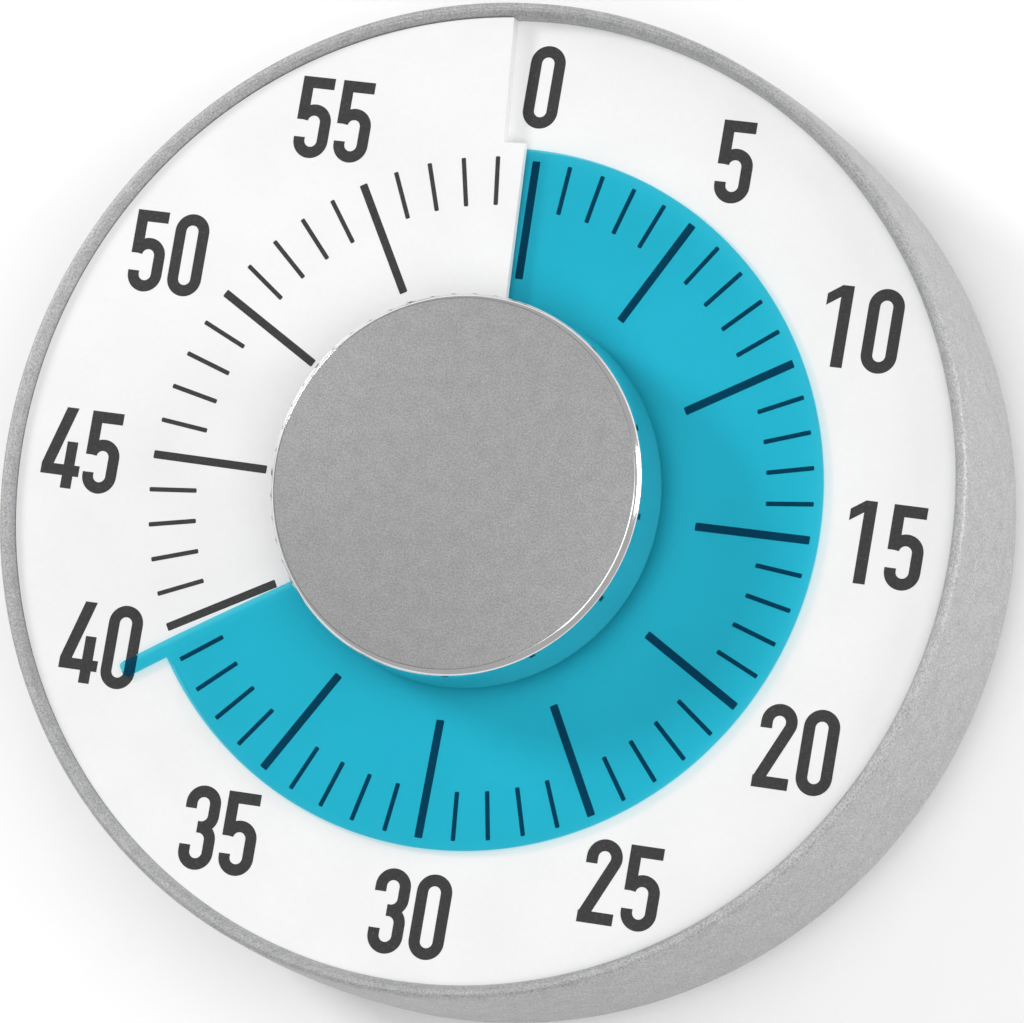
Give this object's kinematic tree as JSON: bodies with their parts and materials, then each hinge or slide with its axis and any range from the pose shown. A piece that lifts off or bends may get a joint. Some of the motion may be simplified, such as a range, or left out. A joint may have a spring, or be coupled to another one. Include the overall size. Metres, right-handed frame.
{
  "type": "kitchen timer",
  "caption": "Round mechanical 60-minute countdown timer: silver drum case, white dial, blue time disc that comes out of a slit and a large round winding knob.",
  "frame": {"origin": "centre of the base, on the plane that the rubber feet rest on", "axes": "+Z out of the dial, +Y towards the dial's 0, +X towards its 15, with the timer lying on its back"},
  "size_m": [0.08, 0.08, 0.0255],
  "materials": {
    "silver_paint": "fine-grained metallic silver paint, satin",
    "dial_white": "smooth white, slightly glossy, black printed scale",
    "blue_film": "translucent cyan-blue film, smooth",
    "knob_satin": "satin, fine sparkling grain",
    "knob_polish": "polished edge and side",
    "grey_plastic": "moulded, finely textured",
    "foot_rubber": "matt black",
    "magnet_nickel": "nickel plated",
    "movement_brass": "plain rolled brass",
    "movement_steel": "plain steel"
  },
  "bodies": {
    "case": {"case_shell": "silver_paint", "bezel_ring": "silver_paint", "dial_plate": "dial_white", "rear_cover": "grey_plastic", "rubber_foot_1": "foot_rubber", "rubber_foot_2": "foot_rubber", "rubber_foot_3": "foot_rubber", "magnet_1": "magnet_nickel", "magnet_2": "magnet_nickel", "magnet_3": "magnet_nickel", "movement_pillar_1": "movement_brass", "movement_pillar_2": "movement_brass", "movement_pillar_3": "movement_brass", "movement_pillar_4": "movement_brass", "cover_screw_1": "movement_steel", "cover_screw_2": "movement_steel", "cover_screw_3": "movement_steel", "cover_screw_4": "movement_steel", "rear_movement_plate": "movement_brass", "front_movement_plate": "movement_brass", "main_bushing": "movement_brass", "mainspring": "movement_steel", "hammer_spring": "movement_steel", "bell": "movement_brass", "bell_post": "movement_steel", "bell_nut": "movement_brass"},
    "knob": {"knob_body": "knob_polish", "knob_face": "knob_satin", "main_arbor": "movement_steel", "main_wheel": "movement_brass", "clutch_spring": "movement_steel", "strike_cam": "movement_brass"},
    "disc": {"time_disc": "blue_film", "disc_hub": "grey_plastic"},
    "second": {"second_arbor": "movement_steel", "second_wheel": "movement_brass"},
    "third": {"third_arbor": "movement_steel", "third_wheel": "movement_brass"},
    "escape": {"escape_arbor": "movement_steel", "escape_wheel": "movement_brass"},
    "balance": {"balance_arbor": "movement_steel", "balance_wheel": "movement_brass", "pallet": "movement_steel"},
    "hammer": {"hammer_arbor": "movement_steel", "hammer": "movement_steel"}
  },
  "joints": [
    {"name": "knob_turn", "type": "hinge", "parent": "case", "child": "knob", "pos_m": [0, 0, 0], "axis": [0, 0, -1], "range_deg": [-240, 120]},
    {"name": "disc_lift", "type": "slide", "parent": "knob", "child": "disc", "axis": [0, 0, 1], "range_m": [-0.00081, 0.00041]},
    {"name": "second_turn", "type": "hinge", "parent": "case", "child": "second", "pos_m": [0, 0.014, 0], "axis": [0, 0, -1], "range_deg": [-725, 1445]},
    {"name": "third_turn", "type": "hinge", "parent": "case", "child": "third", "pos_m": [-0.01004, 0.01074, 0], "axis": [0, 0, -1], "range_deg": [-7205, 3605]},
    {"name": "escape_turn", "type": "hinge", "parent": "case", "child": "escape", "pos_m": [-0.0185, 0.00766, 0], "axis": [0, 0, -1], "range_deg": [-18005, 36005]},
    {"name": "balance_swing", "type": "hinge", "parent": "case", "child": "balance", "pos_m": [-0.0185, 0.00016, 0], "axis": [0, 0, -1], "range_deg": [-12, 12]},
    {"name": "hammer_strike", "type": "hinge", "parent": "case", "child": "hammer", "pos_m": [0.011, -0.014, 0], "axis": [0, 0, -1], "range_deg": [0, 4], "stiffness_Nm_per_rad": 0.002}
  ],
  "couplings": [
    {"joint": "disc_lift", "follows": "knob_turn", "m_per_rad": 0.00019099},
    {"joint": "second_turn", "follows": "knob_turn", "ratio": -6},
    {"joint": "third_turn", "follows": "knob_turn", "ratio": 30},
    {"joint": "escape_turn", "follows": "knob_turn", "ratio": -150}
  ]
}
